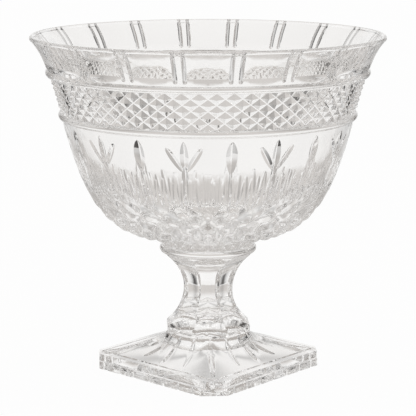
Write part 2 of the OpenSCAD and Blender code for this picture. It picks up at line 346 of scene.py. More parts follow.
def diamond_depth(u, v):
    """Depth of the crossing grooves that leave a band of pyramids."""
    across = u / DIAMOND + 0.5
    along = (v - BAND_LOW) / (2 * HALF_ROW)
    nearest = np.minimum(*[np.abs(g - np.round(g)) for g in (across + along, across - along)])
    rise = np.clip((2 * nearest - GROOVE_FLAT) / (1 - GROOVE_FLAT), 0, 1)
    band = (v > BAND_LOW + BAND_EDGE / 2) & (v < BAND_HIGH - BAND_EDGE / 2)
    return np.where(band, DIAMOND_DEPTH * (1 - rise), 0)


class Cut:
    """One cut with straight flanks and a flat bottom; a lower value makes an end of it blunter."""

    def __init__(self, angle, low, length, half_w, slope, ends, lean=0.0, shift=0.0, ref_r=LEAF_R):
        self.angle = angle
        self.low = low
        self.length = length
        self.half_w = half_w
        self.slope = slope
        self.foot, self.head = ends
        self.lean = math.radians(lean)
        self.shift = shift
        self.ref_r = ref_r

    def width(self, t):
        """Half width along the cut, from its foot (0) to its head (1)."""
        t = np.clip(t, 0, 1)
        peak = self.foot / (self.foot + self.head)
        most = peak ** self.foot * (1 - peak) ** self.head
        return self.half_w * t ** self.foot * (1 - t) ** self.head / most

    def place(self, across, t):
        """Angle and way along the outline of points on the cut."""
        along = t * self.length
        x = self.shift + along * math.sin(self.lean) + across * math.cos(self.lean)
        v = self.low + along * math.cos(self.lean) - across * math.sin(self.lean)
        return self.angle + np.degrees(x / self.ref_r), v

    def depth(self, u, v):
        """Depth of the cut, as steep at every radius."""
        x = np.radians(u - self.angle) * self.ref_r - self.shift
        y = v - self.low
        across = x * math.cos(self.lean) - y * math.sin(self.lean)
        width = self.width((x * math.sin(self.lean) + y * math.cos(self.lean)) / self.length)
        inside = np.clip(width - np.abs(across), 0, (1 - CUT_FLAT) * width)
        return inside * self.slope * PROFILE.at(v)[0] / self.ref_r

    def lines(self):
        """The edges of the cut and of its flat bottom, as lines on the unrolled wall."""
        t = eased(max(CUT_LEAST, int(self.length / CUT_STEP)))
        width = self.width(t)
        sides = (-1, -CUT_FLAT, CUT_FLAT, 1)
        return [np.column_stack(self.place(side * width, t)) for side in sides]


def leaf_cuts():
    """A single leaf with a tuft on each side, a sprig of three leaves, and the stalk under each."""
    single, sprig = PANEL_EDGES
    tip = PROFILE.way_at_z(LEAF_TIP_Z)
    low = PROFILE.way_at_z(STALK_LOW_Z)
    tuft_low = PROFILE.way_at_z(TUFT_LOW_Z)
    tuft_l = PROFILE.way_at_z(TUFT_TOP_Z) - tuft_low
    fork = PROFILE.way_at_z(FORK_Z)
    start = fork - FORK_SUNK
    stalk_l = tip - STALK_UNDER_TIP - low
    trunk_l = fork + TRUNK_PAST_FORK - low
    cuts = [
        Cut(single, tip - SINGLE_L, SINGLE_L, SINGLE_HALF_W, LEAF_SLOPE, SINGLE_ENDS),
        Cut(single, low, stalk_l, STALK_HALF_W, STALK_SLOPE, STALK_ENDS),
        Cut(sprig, start, tip - fork + FORK_SUNK, SPRIG_HALF_W, LEAF_SLOPE, SPRIG_ENDS),
        Cut(sprig, low, trunk_l, TRUNK_HALF_W, STALK_SLOPE, TRUNK_ENDS),
    ]
    side_leaf = (start, SIDE_LEAF_L, SIDE_LEAF_HALF_W, LEAF_SLOPE, SIDE_LEAF_ENDS)
    tuft = (tuft_low, tuft_l, TUFT_HALF_W, TUFT_SLOPE, TUFT_ENDS)
    for side in (-1, 1):
        cuts.append(Cut(sprig, *side_leaf, side * SIDE_LEAF_LEAN, side * SIDE_LEAF_OFF))
        cuts.append(Cut(single, *tuft, -side * TUFT_LEAN, side * TUFT_OFF))
    return cuts


def upright_cuts():
    """Uneven upright cuts on the wall under the leaves; the two at a sector's sides stay plain."""
    pitch = SECTOR / BLADES
    plain_w = math.radians(pitch / 2) * BLADE_R * BLADE_FILL
    cuts = []
    for k in range(BLADES):
        low = PROFILE.way_at_z(in_turn(BLADE_LOWS, k))
        length = PROFILE.way_at_z(in_turn(BLADE_TOPS, k)) - low
        inside = 0 < k < BLADES - 1
        lean = in_turn(BLADE_LEANS, k) if inside else 0
        half_w = plain_w * (in_turn(BLADE_WIDTHS, k) if inside else 1)
        shift = -length / 2 * math.sin(math.radians(lean))
        shape = (length, half_w, BLADE_SLOPE, BLADE_ENDS)
        cuts.append(Cut((k + 0.5) * pitch, low, *shape, lean, shift, BLADE_R))
    return cuts


CUTS = leaf_cuts() + upright_cuts()


def lobe_depth(u, v):
    """Depth between the round lobes of the underside, whose rows are staggered."""
    wave = np.cos(2 * math.pi * u / LOBE) * np.cos(math.pi * (v - LOBE_LOW) / LOBE_ROW)
    fade = np.clip((LOBE_TOP - v) / (LOBE_FADE * LOBE_TOP), 0, 1)
    ramp = np.clip((v - LOBE_LOW) / LOBE_RAMP, 0, 1)
    deep = LOBE_DEPTH * fade * fade * (3 - 2 * fade) * ramp
    return deep * (1 - np.sqrt(0.5 + 0.5 * wave))


def bowl_depth(u, v):
    """Depth of all the cutting of the bowl at an angle and a way along the outline."""
    rim = np.where(v > BEAD_TOP, np.maximum(panel_depth(u, v), flute_depth(u, v)), 0)
    rim *= np.clip((RIM_TOP - v) / RIM_FADE, 0, 1)
    cuts = np.zeros_like(u)
    for cut in CUTS:
        cuts = np.maximum(cuts, cut.depth(u, v))
    return rim + diamond_depth(u, v) + cuts + lobe_depth(u, v)


class Sheet:
    """Points and fixed lines in a plane, joined into triangles while the plane is stretched."""

    def __init__(self, stretch=1.0):
        self.points = []
        self.edges = []
        self.stretch = stretch

    def line(self, points, closed=False):
        """Adds a line whose edges stay in the mesh."""
        first, count = len(self.points), len(points)
        self.points.extend(tuple(p) for p in points)
        self.edges.extend((first + k, first + k + 1) for k in range(count - 1))
        if closed:
            self.edges.append((first + count - 1, first))

    def triangles(self):
        """Joins all points into triangles that keep the lines."""
        flat = [Vector((x * self.stretch, y)) for x, y in self.points]
        verts, _, faces, _, _, _ = delaunay_2d_cdt(flat, self.edges, [], 0, SAME_POINT)
        return np.array([(p.x / self.stretch, p.y) for p in verts]), np.array(faces)


class Unrolled(Sheet):
    """One unrolled sector of the wall: the angle across, and the way along the outline up."""

    def row(self, v, step):
        """Adds a level line right across the sector."""
        u = np.linspace(0, SECTOR, int(round(SECTOR / step)) + 1)
        self.line(np.column_stack([u, np.full_like(u, v)]))

    def grid(self, v_list):
        """Adds loose points on levels, away from the lines that are there already."""
        fixed = np.array(self.points) * (self.stretch, 1)
        for k, v in enumerate(v_list):
            first = GRID_STEP * (0.5 if k % 2 else 1.0)
            u = np.arange(first, SECTOR - GRID_STEP * GRID_END, GRID_STEP)
            near = fixed[np.abs(fixed[:, 1] - v) < KEEP_OFF]
            if len(near):
                across = u[:, None] * self.stretch - near[None, :, 0]
                gap = np.hypot(across, v - near[None, :, 1])
                u = u[gap.min(axis=1) > KEEP_OFF]
            self.points.extend((a, v) for a in u)


def crease(over):
    """Line across each panel, between its flutes, where a depth difference changes sign."""
    half = PANEL / 2 - FLUTE_ROOM
    levels = np.linspace(BEAD_TOP, RIM_START, CREASE_LEVELS)
    lines = []
    for middle in (0, PANEL, SECTOR):
        angles = middle + np.linspace(-half, half, CREASE_POINTS)
        angles = angles[(angles >= 0) & (angles <= SECTOR)]
        firsts = [np.argmax(over(np.full_like(levels, a), levels) > 0) for a in angles]
        lines.append([(a, levels[first]) for a, first in zip(angles, firsts)])
    return lines


def toe_lines():
    """Lower and upper edge of the small facet under each panel."""
    return crease(toe_depth) + crease(lambda u, v: toe_depth(u, v) - flat_depth(u, v))


def flute_lines():
    """Lines along each flute, which start on its round end."""
    wall = np.linspace(FLUTE_END, RIM_START, FLUTE_ROWS)
    rim = np.linspace(RIM_START, RIM_TOP - RIM_EDGE, FLUTE_RIM_ROWS)
    v = np.concatenate([wall, rim[1:]])
    r = PROFILE.at(v)[0]
    lines = []
    for angle in FLUTE_ANGLES:
        for turn in np.linspace(0, math.pi, FLUTE_LINES):
            across = FLUTE_HALF_W * math.cos(turn)
            end_v = FLUTE_END - FLUTE_HALF_W * math.sin(turn)
            end = (angle + math.degrees(across / PROFILE.at(end_v)[0]), end_v)
            upright = np.column_stack([angle + np.degrees(across / r), v])
            lines.append(np.concatenate([[end], upright]))
    return lines


def lattice_lines():
    """Edges of the grooves and of the pyramids of the diamond band."""
    rows = np.linspace(BAND_LOW + BAND_EDGE, BAND_HIGH - BAND_EDGE, LATTICE_ROWS)
    along = (rows - BAND_LOW) / (2 * HALF_ROW)
    cells = int(SECTOR / DIAMOND)
    reach = HALF_ROWS // 2
    lines = []
    for n in range(-reach, cells + reach + 2):
        for edge in (-GROOVE_FLAT / 2, GROOVE_FLAT / 2):
            for lean in (-1, 1):
                lines += inside_parts(DIAMOND * (n + edge + lean * along - 0.5), rows)
    for k in range(2 * cells + 1):
        lines.append(np.column_stack([np.full_like(rows, k * DIAMOND / 2), rows]))
    for k in range(1, HALF_ROWS):
        u = np.linspace(0, SECTOR, 4 * cells + 1)
        lines.append(np.column_stack([u, np.full_like(u, BAND_LOW + k * HALF_ROW)]))
    return lines


def inside_parts(u, v):
    """The part of a slanting line that lies inside the sector, ending exactly on its sides."""
    if u[0] > u[-1]:
        u, v = u[::-1], v[::-1]
    low, high = max(u[0], 0.0), min(u[-1], SECTOR)
    if low >= high:
        return []
    kept = u[(u > low + SAME_ANGLE) & (u < high - SAME_ANGLE)]
    spots = np.concatenate([[low], kept, [high]])
    return [np.column_stack([spots, np.interp(spots, u, v)])]


def bowl_sector():
    """Points (angle, way) and triangles of one sector of the bowl's cut side."""
    sheet = Unrolled(STRETCH)
    for v in (0, CONE_TOP, *PROFILE.joints):
        sheet.row(v, FINE_STEP)
    for low, high in ((LOW_BEAD, BAND_LOW), (BAND_HIGH, BEAD_TOP)):
        for v in np.linspace(low, high, BEAD_ROWS)[1:-1]:
            sheet.row(v, BEAD_STEP)
    for v in (BAND_LOW + BAND_EDGE, BAND_HIGH - BAND_EDGE):
        sheet.row(v, FINE_STEP)
    for v in np.linspace(RIM_START, RIM_TOP, RIM_ROWS)[1:-1]:
        sheet.row(v, RIM_STEP)
    lines = toe_lines() + flute_lines() + lattice_lines()
    for cut in CUTS:
        lines += cut.lines()
    for line in lines:
        sheet.line(line)
    underside = np.arange(GRID_FIRST, LOBE_TOP, GRID_UP)
    wall = np.arange(LOBE_TOP, LOW_BEAD - UNDER_BEAD, WALL_UP)
    flare = np.arange(BEAD_TOP + GRID_FIRST, RIM_START - UNDER_RIM, GRID_UP)
    levels = (np.concatenate([underside, wall]), flare)
    for v_list in levels:
        for side in (0, SECTOR):
            sheet.points.extend((side, v) for v in v_list)
    for v_list in levels:
        sheet.grid(v_list)
    return sheet.triangles()


def revolve(outline, turns, first=0.0):
    """Rings of points round the axis, from an outline of radii and heights."""
    angles = np.radians(first + np.arange(turns) * 360 / turns)
    ring = np.stack([np.cos(angles), np.sin(angles)], axis=1)
    rings = outline[:, None, 0, None] * ring[None]
    heights = np.broadcast_to(outline[:, 1][:, None, None], (len(outline), turns, 1))
    return np.concatenate([rings, heights], axis=2)


def ring_quads(rings, turns):
    """Quads between neighbouring rings of points."""
    k = np.arange(turns)
    after = (k + 1) % turns
    quads = []
    for row in range(rings - 1):
        low, high = row * turns, (row + 1) * turns
        quads.append(np.stack([low + k, low + after, high + after, high + k], axis=1))
    return np.concatenate(quads)


class Shell:
    """Points and faces of one piece, gathered part by part."""

    def __init__(self):
        self.verts = []
        self.faces = []

    def add(self, verts, faces):
        """Adds points and the faces between them."""
        first = len(self.verts)
        self.verts.extend(tuple(p) for p in verts)
        self.faces.extend(tuple(int(first + i) for i in f) for f in faces)

    def wall(self, low, high):
        """Adds a closed wall between two outlines of as many points."""
        count = len(low)
        faces = [(k, (k + 1) % count, count + (k + 1) % count, count + k) for k in range(count)]
        self.add(np.concatenate([low, high]), faces)

    def disc(self, rings, turns, middle_z, first=0.0):
        """Adds rings of points and closes the last one at the axis."""
        verts = revolve(np.array(rings, float), turns, first).reshape(-1, 3)
        last = (len(rings) - 1) * turns
        faces = ring_quads(len(rings), turns).tolist()
        faces += [(last + k, last + (k + 1) % turns, len(verts)) for k in range(turns)]
        self.add(np.concatenate([verts, [[0, 0, middle_z]]]), faces)


def make_piece(name, verts, faces, replaced, slot):
    """A mesh object of closed, welded faces that stands for one node of the part."""
    mesh = bpy.data.meshes.new(name)
    mesh.from_pydata([tuple(p) for p in np.asarray(verts) * MM], [], [tuple(f) for f in faces])
    work = bmesh.new()
    work.from_mesh(mesh)
    bmesh.ops.remove_doubles(work, verts=work.verts, dist=WELD)
    bmesh.ops.dissolve_degenerate(work, edges=work.edges, dist=NO_LENGTH)
    bmesh.ops.recalc_face_normals(work, faces=work.faces)
    work.to_mesh(mesh)
    work.free()
    mesh.polygons.foreach_set("use_smooth", np.ones(len(mesh.polygons), bool))
    mesh.set_sharp_from_angle(angle=SHARP)
    piece = bpy.data.objects.new(name, mesh)
    scene.collection.objects.link(piece)
    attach(piece, "root")
    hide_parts(replaced)
    return piece


def bowl_inside():
    """Outline of the bowl's inside, from the top of its rim down to near the axis."""
    return np.concatenate([
        arc(RIM_MIDDLE, RIM_R, math.pi / 2, math.pi, RIM_POINTS),
        bezier(INNER_FLARE, np.linspace(0, 1, INNER_FLARE_POINTS))[1:],
        bezier(WELL, np.linspace(0, 1, WELL_POINTS))[1:-1],
    ])


def bowl_mesh():
    """Points and faces of the whole bowl."""
    spots, triangles = bowl_sector()
    u, v = spots[:, 0], spots[:, 1]
    r, z, out_r, out_z = PROFILE.at(v)
    depth = bowl_depth(u, v)
    r, z = r - depth * out_r, z - depth * out_z
    shell = Shell()
    for k in range(SECTORS):
        angle = np.radians(u + FIRST_PANEL + k * SECTOR)
        shell.add(np.column_stack([r * np.cos(angle), r * np.sin(angle), z + BOWL_Z]), triangles)
    shell.disc(bowl_inside() + (0, BOWL_Z), BOWL_TURNS, BOWL_Z + WELL[3][1], FIRST_PANEL)
    base = np.array([BASE, (BOWL_BOND_R, 0), (BOWL_BOND_R / 2, 0)]) + (0, BOWL_Z)
    shell.disc(base, BOWL_TURNS, BOWL_Z, FIRST_PANEL)
    return np.array(shell.verts), shell.faces


# Stem sizes
FLATS = 8
SHAFT_R = 31.55
KNOP_HALF = 29.5
KNOP_T = 4.6
WAIST_HALF = 17.2
WAIST_Z = 30.8
WAIST_SWEEP = ((WAIST_Z - KNOP_T) ** 2 / (KNOP_HALF - WAIST_HALF) + KNOP_HALF - WAIST_HALF) / 2
FLAT_SAG = 0.9
SAG_RISE = 8
COLLAR_R = 32.05
COLLAR_T = 5.4
EDGE = 0.4

# Mesh of the stem: points across a flat and round a corner, levels of the waist and of the collar
FLAT_POINTS = 12
CORNER_POINTS = 4
WAIST_RINGS = 49
COLLAR_RINGS = 15


def waist_half(z):
    """Distance of the hollow flats from the axis at a height."""
    return WAIST_HALF + WAIST_SWEEP - np.sqrt(WAIST_SWEEP ** 2 - (z - WAIST_Z) ** 2)


def flat_ring(half, round_r, z, sag=0.0):
    """One level of the stem: eight flats, hollow by a sag, with round corners between them."""
    spread = min(math.acos(min(half / round_r, 1)), math.pi / FLATS)
    share = np.linspace(-1, 1, FLAT_POINTS + 1)[:-1]
    side = np.arctan(share * math.tan(spread))
    turn = np.linspace(spread, 2 * math.pi / FLATS - spread, CORNER_POINTS + 1)[:-1]
    off = np.concatenate([side, turn])
    flat_r = half / np.cos(side) - sag * (1 - share ** 2)
    corner_r = min(round_r, half / math.cos(spread))
    r = np.concatenate([flat_r, np.full(CORNER_POINTS, corner_r)])
    rows = []
    for k in range(FLATS):
        angle = off + 2 * math.pi * k / FLATS
        rows.append(np.column_stack([r * np.cos(angle), r * np.sin(angle), np.full(len(off), z)]))
    return np.concatenate(rows)


def round_ring(r, z):
    """One round level of the stem."""
    return flat_ring(r, r, z)


def stem_mesh():
    """Points and faces of the stem."""
    height = STEM_TOP - STEM_Z
    shaft_top = height - COLLAR_T
    full_z = WAIST_Z + math.sqrt(WAIST_SWEEP ** 2 - (WAIST_SWEEP + WAIST_HALF - SHAFT_R) ** 2)
    full_z = min(full_z, shaft_top)
    rings = [round_ring(FOOT_BOND_R * k, 0) for k in (0.5, 1)]
    rings.append(flat_ring(KNOP_HALF - EDGE, SHAFT_R - EDGE, 0))
    rings.append(flat_ring(KNOP_HALF, SHAFT_R, EDGE))
    for z in KNOP_T + (full_z - KNOP_T) * np.linspace(0, 1, WAIST_RINGS):
        rise = (z - KNOP_T) / (full_z - KNOP_T)
        sag = FLAT_SAG * min(1, SAG_RISE * rise * (1 - rise))
        rings.append(flat_ring(waist_half(z), SHAFT_R, z, sag))
    rings.append(round_ring(SHAFT_R, shaft_top))
    half_t = COLLAR_T / 2
    collar = arc((COLLAR_R, height - half_t), half_t, -math.pi / 2, math.pi / 2, COLLAR_RINGS)
    rings += [round_ring(r, z) for r, z in collar]
    rings += [round_ring(BOWL_BOND_R * k, height) for k in (1, 0.5)]
    turns = len(rings[0])
    verts = np.concatenate(rings)
    faces = [tuple(q) for q in ring_quads(len(rings), turns)]
    low, top = len(verts), len(verts) + 1
    last = (len(rings) - 1) * turns
    faces += [((k + 1) % turns, k, low) for k in range(turns)]
    faces += [(last + k, last + (k + 1) % turns, top) for k in range(turns)]
    verts = np.concatenate([verts, [[0, 0, 0], [0, 0, height]]])
    return verts + (0, 0, STEM_Z), faces


# Foot sizes; a flute has a start, an end and a half width, and a fine line runs inside the edge
FOOT_HALF = 62.25
STEP_HALF = 59.65
CLIP_SUM = 111.5
BAND_H = 5.2
PLINTH_H = 10
HOLLOW_R = 64
NECK_R = 34
SEAT_R = 28.5
NECK_REACH = SEAT_R + math.sqrt(NECK_R ** 2 - (NECK_R + PLINTH_H - FOOT_TOP) ** 2)
SIDE_FLUTE = (28.6, 51, 2.3)
CORNER_FLUTE = (28.6, 74, 2.4)
FOOT_FLUTE_DEPTH = 0.6
FOOT_FLUTE_ENDS = 0.4
SIDE_FAN = 22.5
LINE_AT = 54.2
LINE_HALF_W = 0.9
LINE_DEPTH = 0.8
NOTCHES = 7
NOTCH_R = 1.2
FOOT_WALL = PLINTH_H + 1
HOLLOW_HALF = FOOT_HALF - math.sqrt(HOLLOW_R ** 2 - (HOLLOW_R + PLINTH_H - FOOT_WALL) ** 2)
FOOT_FLUTES = [(90 * k + a, SIDE_FLUTE) for k in range(4) for a in (-SIDE_FAN, 0, SIDE_FAN)]
FOOT_FLUTES += [(90 * k + 45, CORNER_FLUTE) for k in range(4)]

# Mesh of the foot: numbers of points and lines, and steps of the loose points, kept off the lines
SEAT_TURNS = 120
SIDE_POINTS = 61
CLIP_POINTS = 9
NOTCH_POINTS = 9
FOOT_FLUTE_ROWS = 28
FOOT_FLUTE_LINES = 13
HIP_POINTS = 12
HOLLOW_HIP_POINTS = 40
FOOT_STEP = 1.7
FOOT_ROW = 0.87
FOOT_KEEP_OFF = 0.8

# Half width of a foot flute past its ends, which is divided by and so can't be zero
NO_WIDTH = 1e-6


def foot_plain(x, y):
    """Height of the foot's hollow square top and round neck, before the flutes."""
    square = np.maximum(np.abs(x), np.abs(y))
    hollow = PLINTH_H + HOLLOW_R - np.sqrt(HOLLOW_R ** 2 - (FOOT_HALF - square) ** 2)
    reach = np.clip(NECK_REACH - np.hypot(x, y), 0, NECK_R)
    neck = PLINTH_H + NECK_R - np.sqrt(NECK_R ** 2 - reach ** 2)
    return np.minimum(np.maximum(hollow, neck), FOOT_TOP)


def flute_half(along, flute):
    """Half width of a foot flute along its line, which closes at both ends."""
    start, end, half_w = flute
    t = np.clip((along - start) / (end - start), 0, 1)
    return half_w * (4 * t * (1 - t)) ** FOOT_FLUTE_ENDS


def foot_height(x, y):
    """Height of the foot's top with its round-lipped flutes and the fine line inside its edge."""
    z = foot_plain(x, y)
    for angle, flute in FOOT_FLUTES:
        c, s = math.cos(math.radians(angle)), math.sin(math.radians(angle))
        along, across = x * c + y * s, y * c - x * s
        half = np.maximum(flute_half(along, flute), NO_WIDTH)
        z = z - np.maximum(1 - (across / half) ** 2, 0) ** 2 * half * FOOT_FLUTE_DEPTH
    off_line = np.abs(np.maximum(np.abs(x), np.abs(y)) - LINE_AT)
    return z - LINE_DEPTH * np.maximum(1 - off_line / LINE_HALF_W, 0)


def square_r(angle, half):
    """Distance from the axis to a square."""
    return half / np.maximum(np.abs(np.cos(angle)), np.abs(np.sin(angle)))


def clipped_r(angle, half):
    """Distance from the axis to a square with clipped corners."""
    clip = CLIP_SUM / (np.abs(np.cos(angle)) + np.abs(np.sin(angle)))
    return np.minimum(square_r(angle, half), clip)


def foot_flute_lines():
    """Lines along every flute of the foot, from edge to edge."""
    lines = []
    for angle, flute in FOOT_FLUTES:
        c, s = math.cos(math.radians(angle)), math.sin(math.radians(angle))
        along = flute[0] + (flute[1] - flute[0]) * eased(FOOT_FLUTE_ROWS)
        for side in np.linspace(-1, 1, FOOT_FLUTE_LINES):
            across = side * flute_half(along, flute)
            lines.append(np.column_stack([along * c - across * s, along * s + across * c]))
    return lines


def hip_lines(start, end, count):
    """Lines along the four hips, over a part of the way from the axis to a corner."""
    spread = np.linspace(start, end, count)
    turns = [math.pi / 4 + k * math.pi / 2 for k in range(4)]
    return [np.column_stack([spread * math.cos(a), spread * math.sin(a)]) for a in turns]


def quarter_turns(side):
    """A side's points, repeated for the four sides."""
    side = np.array(side)
    return np.concatenate([
        np.column_stack([side[:, 0] * c - side[:, 1] * s, side[:, 0] * s + side[:, 1] * c])
        for c, s in ((1, 0), (0, 1), (-1, 0), (0, -1))
    ])


def square_edge(half):
    """Points along a square round the axis."""
    return quarter_turns([(half, y) for y in np.linspace(-half, half, SIDE_POINTS)[:-1]])


def step_side():
    """Points of the upper step along one side."""
    half = CLIP_SUM - STEP_HALF
    return [(STEP_HALF, y) for y in np.linspace(-half, half, SIDE_POINTS)]


def step_clip():
    """Points of the clipped corner after one side, between the step's corners."""
    across = np.linspace(STEP_HALF, CLIP_SUM - STEP_HALF, CLIP_POINTS)[1:-1]
    return [(x, CLIP_SUM - x) for x in across]


def band_side():
    """Points of the lower band along one side, with its round notches."""
    pitch = 2 * (CLIP_SUM - FOOT_HALF) / NOTCHES
    side = [(FOOT_HALF, FOOT_HALF - CLIP_SUM)]
    for k in range(NOTCHES):
        middle = (k - (NOTCHES - 1) / 2) * pitch
        for turn in np.linspace(-math.pi / 2, math.pi / 2, NOTCH_POINTS):
            side.append((FOOT_HALF - NOTCH_R * math.cos(turn), middle + NOTCH_R * math.sin(turn)))
    side.append((FOOT_HALF, CLIP_SUM - FOOT_HALF))
    return side


def foot_sheet(edge, lines, reach):
    """Points and triangles between the seat's circle and an outer edge."""
    sheet = Sheet()
    sheet.line(revolve(np.array([(SEAT_R, 0)]), SEAT_TURNS)[0, :, :2], True)
    sheet.line(edge, True)
    for line in lines:
        sheet.line(line)
    fixed = np.array(sheet.points)
    for row, y in enumerate(np.arange(-FOOT_HALF, FOOT_HALF, FOOT_STEP * FOOT_ROW)):
        x = np.arange(-FOOT_HALF, FOOT_HALF, FOOT_STEP) + (FOOT_STEP / 2 if row % 2 else 0)
        r, angle = np.hypot(x, y), np.arctan2(y, x)
        x = x[(r > SEAT_R + FOOT_KEEP_OFF) & (r < reach(angle) - FOOT_KEEP_OFF)]
        near = fixed[np.abs(fixed[:, 1] - y) < FOOT_KEEP_OFF]
        if len(x) and len(near):
            gap = np.hypot(x[:, None] - near[None, :, 0], y - near[None, :, 1])
            x = x[gap.min(axis=1) > FOOT_KEEP_OFF]
        sheet.points.extend((a, y) for a in x)
    spots, faces = sheet.triangles()
    middle = spots[faces].mean(axis=1)
    outside = np.hypot(middle[:, 0], middle[:, 1]) > SEAT_R * math.cos(math.pi / SEAT_TURNS)
    return spots, faces[outside]


def foot_top(edge):
    """Points and triangles of the foot's top between its seat and its edge."""
    lines = foot_flute_lines()
    lines += hip_lines(CORNER_FLUTE[1], CLIP_SUM / math.sqrt(2), HIP_POINTS)
    for side in (-1, 0, 1):
        square = square_edge(LINE_AT + side * LINE_HALF_W)
        lines.append(np.concatenate([square, square[:1]]))
    spots, faces = foot_sheet(edge, lines, lambda angle: clipped_r(angle, STEP_HALF))
    return np.column_stack([spots, foot_height(spots[:, 0], spots[:, 1])]), faces


def foot_hollow(edge):
    """Points and triangles of the hollow under the foot, which follows the top."""
    hips = hip_lines(SEAT_R, HOLLOW_HALF * math.sqrt(2), HOLLOW_HIP_POINTS)
    spots, faces = foot_sheet(edge, hips, lambda angle: square_r(angle, HOLLOW_HALF))
    height = np.maximum(foot_plain(spots[:, 0], spots[:, 1]) - FOOT_WALL, 0)
    return np.column_stack([spots, height]), faces


def at_height(points, z):
    """Points of an outline at a height."""
    points = np.asarray(points, float)
    return np.column_stack([points[:, :2], np.full(len(points), z)])


def foot_mesh():
    """Points and faces of the foot."""
    clip = step_clip()
    corners = [step_side()[-1]] + clip + [(CLIP_SUM - STEP_HALF, STEP_HALF)]
    step = quarter_turns(step_side() + clip)
    band = quarter_turns(band_side() + corners)
    hollow = square_edge(HOLLOW_HALF)
    shell = Shell()
    shell.add(*foot_top(step))
    step_top = np.column_stack([step, foot_height(step[:, 0], step[:, 1])])
    shell.wall(at_height(step, BAND_H), step_top)
    shell.wall(at_height(band, 0), at_height(band, BAND_H))
    ledges = np.split(quarter_turns(band_side() + step_side()[::-1]), 4)
    for ledge in ledges:
        shell.add(at_height(ledge, BAND_H), [range(len(ledge))])
    outer, inner = at_height(band, 0), at_height(hollow, 0)[::-1]
    under = tessellate_polygon([[Vector(p) for p in outer], [Vector(p) for p in inner]])
    shell.add(np.concatenate([outer, inner]), under)
    shell.add(*foot_hollow(hollow))
    ceiling = FOOT_TOP - FOOT_WALL
    shell.disc([(r, ceiling) for r in (SEAT_R, SEAT_R / 2)], SEAT_TURNS, ceiling)
    seat = [(r, FOOT_TOP) for r in (SEAT_R, FOOT_BOND_R, FOOT_BOND_R / 2)]
    shell.disc(seat, SEAT_TURNS, FOOT_TOP)
    return np.array(shell.verts), shell.faces


# Glass: colour, and least and most roughness in the patches of the polish
IOR = 1.52
CRYSTAL_COLOUR = (0.957, 0.950, 0.940, 1)
CRYSTAL_ROUGHNESS = (0.0, 0.03)
FILM_COLOUR = (0.97, 0.97, 0.96, 1)
FILM_ROUGHNESS = (0.04, 0.10)
FILM_ALPHA = 0.02

# A view that has passed more glass faces than this goes on unbent through the bowl's lower wall
FACES_PASSED = 1.5

# Unevenness of the polish: patches and ripples in a metre, and strength and height of the ripples
PATCHES_PER_M = 60
PATCH_RANGE = (0.45, 0.8)
RIPPLES_PER_M = 130
RIPPLE_STRENGTH = 0.2
RIPPLE_HEIGHT = 0.0003


def new_material(name):
    """A material with a plain shader, and its nodes."""
    material = bpy.data.materials.new(name)
    material.use_nodes = True
    return material, material.node_tree


def math_node(tree, operation, *values):
    """A number worked out from others, which may be sockets or plain values."""
    node = tree.nodes.new("ShaderNodeMath")
    node.operation = operation
    for socket, value in zip(node.inputs, values):
        if isinstance(value, (int, float)):
            socket.default_value = value
        else:
            tree.links.new(value, socket)
    return node.outputs[0]


def map_range(tree, value, from_range, to_range):
    """A node that carries a value from one range over to another."""
    node = tree.nodes.new("ShaderNodeMapRange")
    for name, (least, most) in (("From", from_range), ("To", to_range)):
        node.inputs[name + " Min"].default_value = least
        node.inputs[name + " Max"].default_value = most
    tree.links.new(value, node.inputs["Value"])
    return node


def place_parts(tree):
    """X, Y and Z of a place on the surface."""
    parts = tree.nodes.new("ShaderNodeSeparateXYZ")
    place = tree.nodes.new("ShaderNodeNewGeometry")
    tree.links.new(place.outputs["Position"], parts.inputs[0])
    return parts.outputs


def noise(tree, per_metre):
    """Soft noise on the object."""
    node = tree.nodes.new("ShaderNodeTexNoise")
    node.inputs["Scale"].default_value = per_metre
    place = tree.nodes.new("ShaderNodeTexCoord")
    tree.links.new(place.outputs["Object"], node.inputs["Vector"])
    return node.outputs[0]


def uneven_polish(tree, shader, roughness):
    """Roughness between two values in soft patches, and faint ripples of the polishing."""
    patches = map_range(tree, noise(tree, PATCHES_PER_M), PATCH_RANGE, roughness)
    tree.links.new(patches.outputs[0], shader.inputs["Roughness"])
    bump = tree.nodes.new("ShaderNodeBump")
    bump.inputs["Strength"].default_value = RIPPLE_STRENGTH
    bump.inputs["Distance"].default_value = RIPPLE_HEIGHT
    tree.links.new(noise(tree, RIPPLES_PER_M), bump.inputs["Height"])
    tree.links.new(bump.outputs[0], shader.inputs["Normal"])


def clear_glass(name, colour, roughness):
    """Clear glass with a faint unevenness of its polish, and its shader."""
    material, tree = new_material(name)
    shader = tree.nodes["Principled BSDF"]
    shader.inputs["Base Color"].default_value = colour
    shader.inputs["IOR"].default_value = IOR
    shader.inputs["Transmission Weight"].default_value = 1.0
    uneven_polish(tree, shader, roughness)
    return material, shader


def crystal(name):
    """Clear, slightly warm crystal."""
    return clear_glass(name, CRYSTAL_COLOUR, CRYSTAL_ROUGHNESS)[0]


def bowl_crystal():
    """Crystal that lets a view go on unbent below the lower ridge, after two glass faces."""
    material, shader = clear_glass("bowl_glass", CRYSTAL_COLOUR, CRYSTAL_ROUGHNESS)
    tree = material.node_tree
    ridge = (BOWL_Z + BEAD_HEIGHTS[0]) * MM
    low = math_node(tree, "LESS_THAN", place_parts(tree)["Z"], ridge)
    passed = tree.nodes.new("ShaderNodeLightPath").outputs["Transmission Depth"]
    beyond = math_node(tree, "GREATER_THAN", passed, FACES_PASSED)
    both = math_node(tree, "MULTIPLY", low, beyond)
    tree.links.new(math_node(tree, "SUBTRACT", 1.0, both), shader.inputs["Alpha"])
    return material


def seam_film():
    """Clear film in a glued seam, which lets light pass straight through."""
    material, shader = clear_glass("clear_film", FILM_COLOUR, FILM_ROUGHNESS)
    shader.inputs["Alpha"].default_value = FILM_ALPHA
    return material


